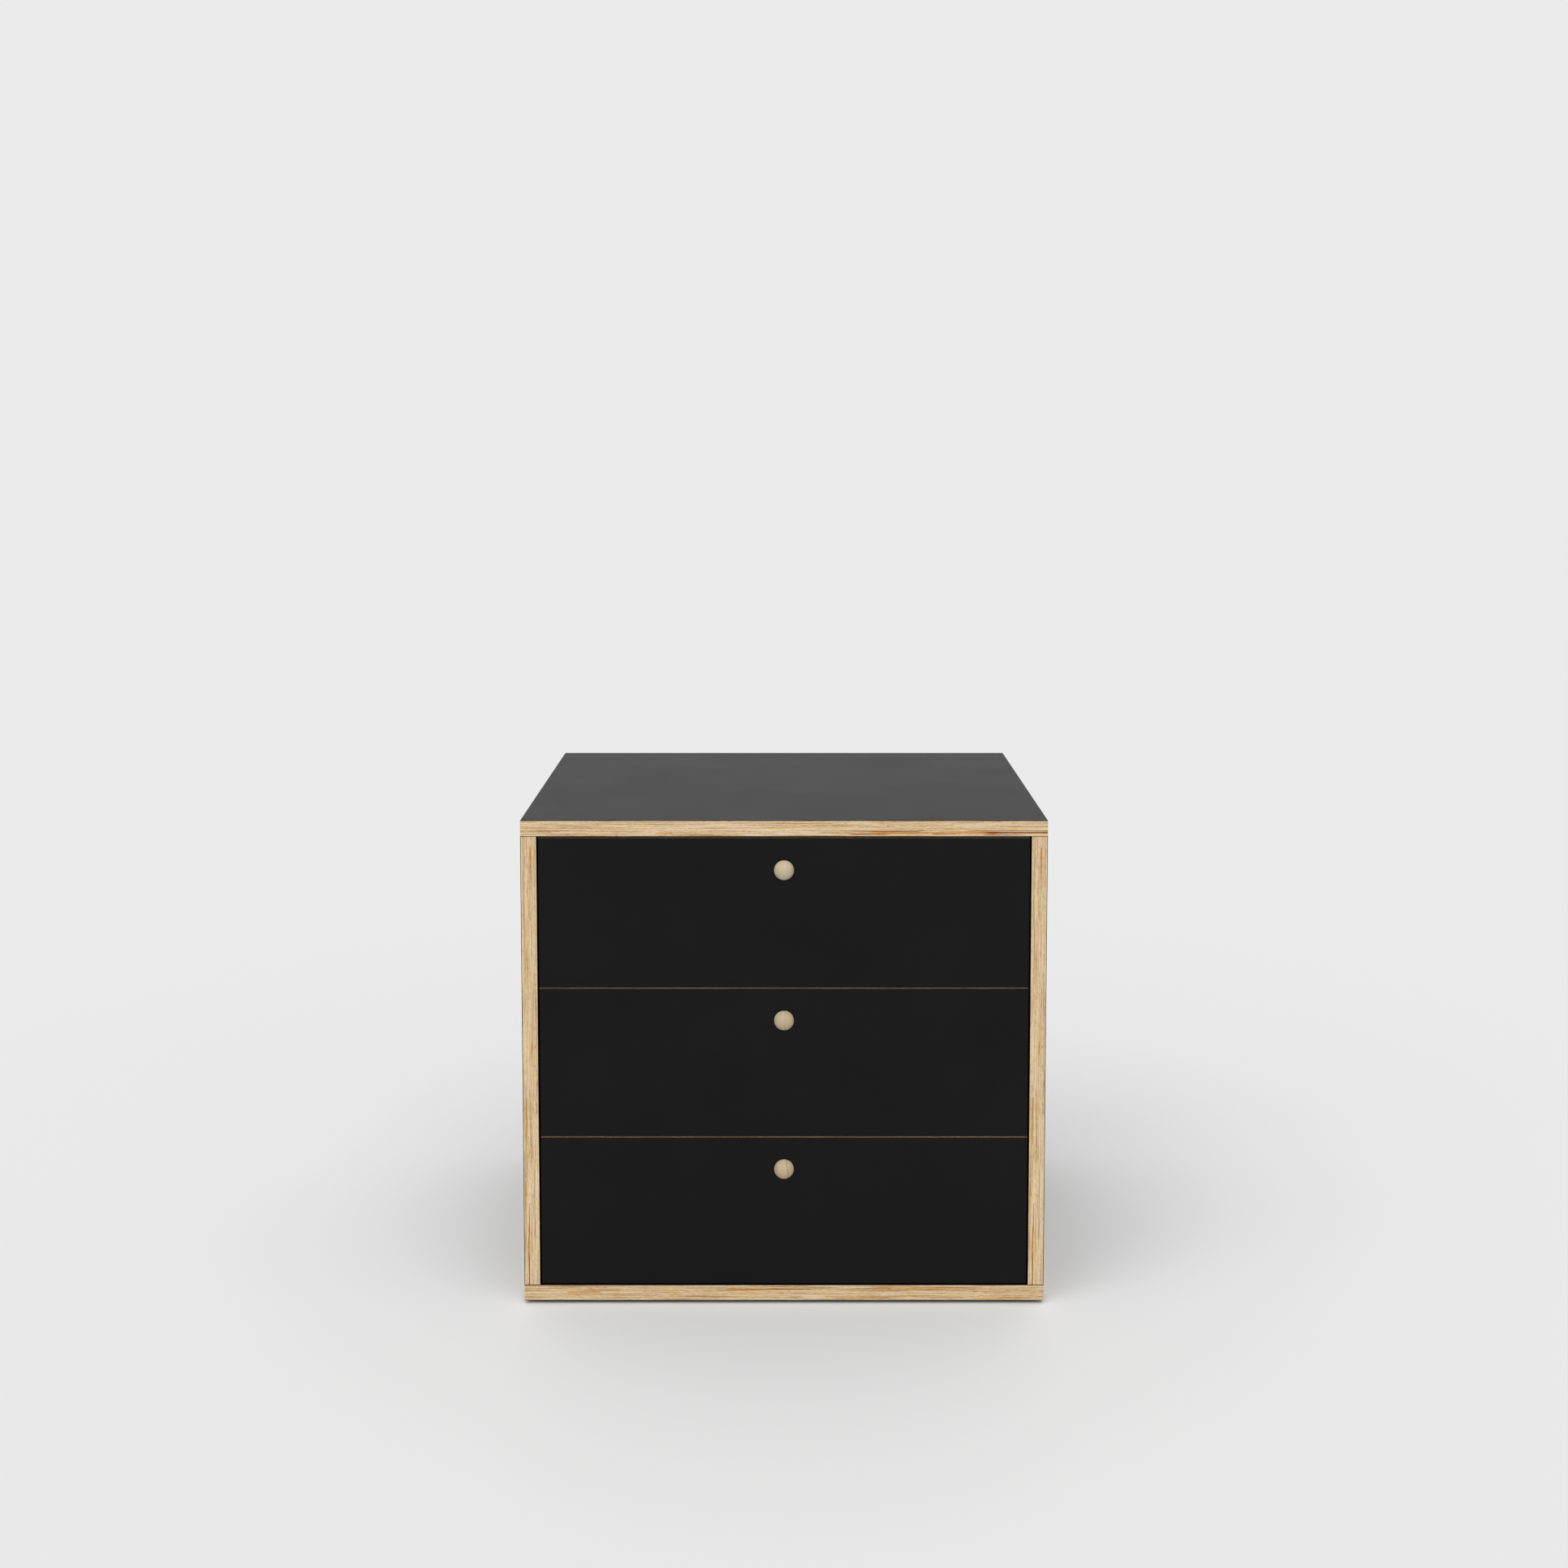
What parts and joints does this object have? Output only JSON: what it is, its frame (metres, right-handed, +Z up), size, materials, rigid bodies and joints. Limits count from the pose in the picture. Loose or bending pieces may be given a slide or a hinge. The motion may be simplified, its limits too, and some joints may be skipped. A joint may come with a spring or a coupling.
{
  "type": "nightstand",
  "caption": "Square-edged bedside cabinet in black-faced plywood with bare plywood edges, flush inset drawers on full-extension slides, small domed wooden knobs and low floor glides.",
  "frame": {"origin": "on the floor under the middle of the whole outline, knobs included", "axes": "+Z up, +X to the right as seen from the front, the drawers open towards -Y"},
  "size_m": [0.64, 0.46, 0.604],
  "materials": {
    "black_laminate": "matt high-pressure laminate",
    "birch_ply": "bare plywood edge, clear matt lacquer",
    "drawer_box_ply": "birch plywood, clear matt lacquer",
    "knob_wood": "turned pale hardwood, oiled",
    "zinc_steel": "zinc-plated sheet steel",
    "screw_steel": "zinc-plated steel",
    "ball_cage": "yellow-passivated steel cage with steel balls",
    "glide_nylon": "moulded nylon",
    "dowel_beech": "beech dowel, unfinished"
  },
  "bodies": {
    "carcass": {"top_panel": "birch_ply", "top_laminate": "black_laminate", "bottom_panel": "birch_ply", "bottom_laminate": "black_laminate", "left_panel": "birch_ply", "left_laminate": "black_laminate", "right_panel": "birch_ply", "right_laminate": "black_laminate", "back_panel": "birch_ply", "back_laminate": "black_laminate", "carcass_dowels": "dowel_beech", "cam_locks": "zinc_steel", "cam_bolts": "zinc_steel", "floor_glides": "glide_nylon", "glide_screws": "screw_steel", "cabinet_rails": "zinc_steel", "cabinet_rail_screws": "screw_steel"},
    "lower_drawer": {"lower_front": "birch_ply", "lower_front_laminate": "black_laminate", "lower_box_left": "drawer_box_ply", "lower_box_right": "drawer_box_ply", "lower_box_front": "drawer_box_ply", "lower_box_back": "drawer_box_ply", "lower_box_bottom": "drawer_box_ply", "lower_box_screws": "screw_steel", "lower_knob": "knob_wood", "lower_knob_screw": "screw_steel", "lower_drawer_rails": "zinc_steel"},
    "middle_drawer": {"middle_front": "birch_ply", "middle_front_laminate": "black_laminate", "middle_box_left": "drawer_box_ply", "middle_box_right": "drawer_box_ply", "middle_box_front": "drawer_box_ply", "middle_box_back": "drawer_box_ply", "middle_box_bottom": "drawer_box_ply", "middle_box_screws": "screw_steel", "middle_knob": "knob_wood", "middle_knob_screw": "screw_steel", "middle_drawer_rails": "zinc_steel"},
    "upper_drawer": {"upper_front": "birch_ply", "upper_front_laminate": "black_laminate", "upper_box_left": "drawer_box_ply", "upper_box_right": "drawer_box_ply", "upper_box_front": "drawer_box_ply", "upper_box_back": "drawer_box_ply", "upper_box_bottom": "drawer_box_ply", "upper_box_screws": "screw_steel", "upper_knob": "knob_wood", "upper_knob_screw": "screw_steel", "upper_drawer_rails": "zinc_steel"},
    "lower_centre_rails": {"lower_centre_rails": "zinc_steel"},
    "lower_outer_cages": {"lower_outer_cages": "ball_cage"},
    "lower_inner_cages": {"lower_inner_cages": "ball_cage"},
    "middle_centre_rails": {"middle_centre_rails": "zinc_steel"},
    "middle_outer_cages": {"middle_outer_cages": "ball_cage"},
    "middle_inner_cages": {"middle_inner_cages": "ball_cage"},
    "upper_centre_rails": {"upper_centre_rails": "zinc_steel"},
    "upper_outer_cages": {"upper_outer_cages": "ball_cage"},
    "upper_inner_cages": {"upper_inner_cages": "ball_cage"}
  },
  "joints": [
    {"name": "lower_drawer_slide", "type": "slide", "parent": "carcass", "child": "lower_drawer", "axis": [0, -1, 0], "range_m": [0, 0.4]},
    {"name": "middle_drawer_slide", "type": "slide", "parent": "carcass", "child": "middle_drawer", "axis": [0, -1, 0], "range_m": [0, 0.4]},
    {"name": "upper_drawer_slide", "type": "slide", "parent": "carcass", "child": "upper_drawer", "axis": [0, -1, 0], "range_m": [0, 0.4]},
    {"name": "lower_centre_rails_slide", "type": "slide", "parent": "carcass", "child": "lower_centre_rails", "axis": [0, -1, 0], "range_m": [0, 0.2]},
    {"name": "lower_outer_cages_slide", "type": "slide", "parent": "carcass", "child": "lower_outer_cages", "axis": [0, -1, 0], "range_m": [0, 0.1]},
    {"name": "lower_inner_cages_slide", "type": "slide", "parent": "carcass", "child": "lower_inner_cages", "axis": [0, -1, 0], "range_m": [0, 0.3]},
    {"name": "middle_centre_rails_slide", "type": "slide", "parent": "carcass", "child": "middle_centre_rails", "axis": [0, -1, 0], "range_m": [0, 0.2]},
    {"name": "middle_outer_cages_slide", "type": "slide", "parent": "carcass", "child": "middle_outer_cages", "axis": [0, -1, 0], "range_m": [0, 0.1]},
    {"name": "middle_inner_cages_slide", "type": "slide", "parent": "carcass", "child": "middle_inner_cages", "axis": [0, -1, 0], "range_m": [0, 0.3]},
    {"name": "upper_centre_rails_slide", "type": "slide", "parent": "carcass", "child": "upper_centre_rails", "axis": [0, -1, 0], "range_m": [0, 0.2]},
    {"name": "upper_outer_cages_slide", "type": "slide", "parent": "carcass", "child": "upper_outer_cages", "axis": [0, -1, 0], "range_m": [0, 0.1]},
    {"name": "upper_inner_cages_slide", "type": "slide", "parent": "carcass", "child": "upper_inner_cages", "axis": [0, -1, 0], "range_m": [0, 0.3]}
  ],
  "couplings": [
    {"joint": "lower_centre_rails_slide", "follows": "lower_drawer_slide", "ratio": 0.5},
    {"joint": "lower_outer_cages_slide", "follows": "lower_drawer_slide", "ratio": 0.25},
    {"joint": "lower_inner_cages_slide", "follows": "lower_drawer_slide", "ratio": 0.75},
    {"joint": "middle_centre_rails_slide", "follows": "middle_drawer_slide", "ratio": 0.5},
    {"joint": "middle_outer_cages_slide", "follows": "middle_drawer_slide", "ratio": 0.25},
    {"joint": "middle_inner_cages_slide", "follows": "middle_drawer_slide", "ratio": 0.75},
    {"joint": "upper_centre_rails_slide", "follows": "upper_drawer_slide", "ratio": 0.5},
    {"joint": "upper_outer_cages_slide", "follows": "upper_drawer_slide", "ratio": 0.25},
    {"joint": "upper_inner_cages_slide", "follows": "upper_drawer_slide", "ratio": 0.75}
  ]
}
